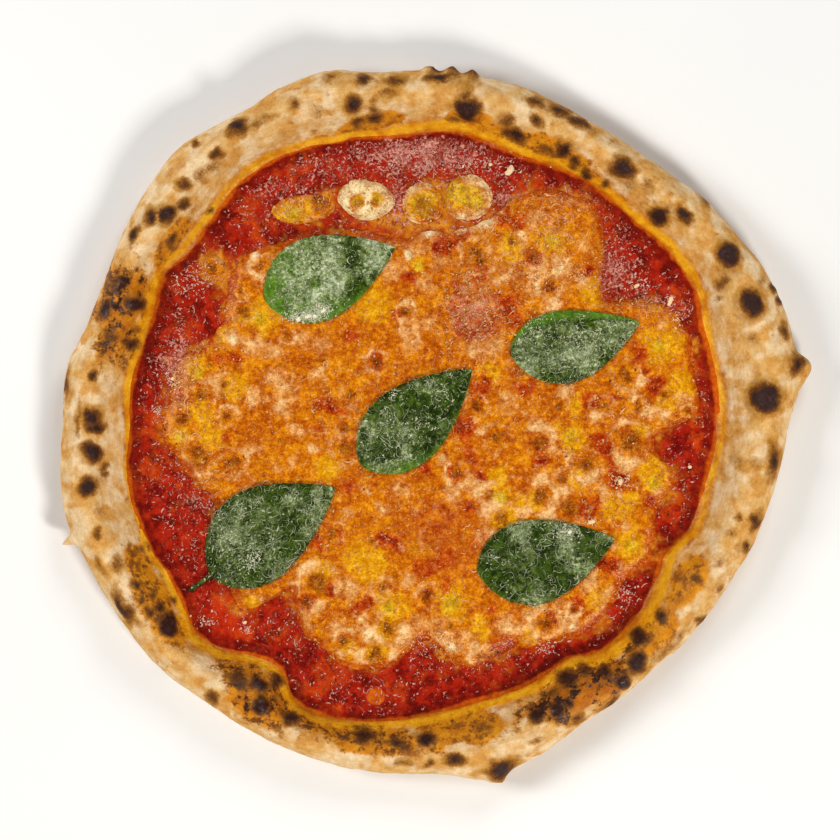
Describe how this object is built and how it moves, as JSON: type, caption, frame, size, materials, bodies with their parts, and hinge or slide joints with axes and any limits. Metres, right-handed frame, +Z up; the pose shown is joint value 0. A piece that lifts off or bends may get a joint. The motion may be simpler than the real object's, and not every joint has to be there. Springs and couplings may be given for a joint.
{
  "type": "whole baked pizza",
  "caption": "Round thin-based baked pizza with a puffed, charred rim, tomato sauce, melted mozzarella, grated cheese and whole basil leaves.",
  "frame": {"origin": "middle of the round's bounding box, on the flat underside", "axes": "+Z up out of the toppings, +X along the widest diameter, +Y across it towards the thickly grated side"},
  "size_m": [0.3124, 0.2976, 0.0236],
  "materials": {
    "baked_dough": "dry floured bread crust, cream to tan, with dark char spots",
    "tomato_sauce": "wet oily cooked tomato",
    "melted_cheese": "satin melted cheese with cream ridges and yellow to orange fat",
    "basil_leaf": "soft wilted leaf, dark green, dusted with grated cheese",
    "grated_cheese": "dry off-white grated hard cheese",
    "dried_herb": "dark dry herb specks"
  },
  "bodies": {
    "root": {"dough": "baked_dough", "tomato_sauce": "tomato_sauce", "mozzarella_sheet": "melted_cheese", "mozzarella_patch_1": "melted_cheese", "mozzarella_patch_2": "melted_cheese", "mozzarella_patch_3": "melted_cheese", "mozzarella_patch_4": "melted_cheese", "mozzarella_patch_5": "melted_cheese", "basil_leaf_1": "basil_leaf", "basil_leaf_2": "basil_leaf", "basil_leaf_3": "basil_leaf", "basil_leaf_4": "basil_leaf", "basil_leaf_5": "basil_leaf"}
  },
  "joints": []
}
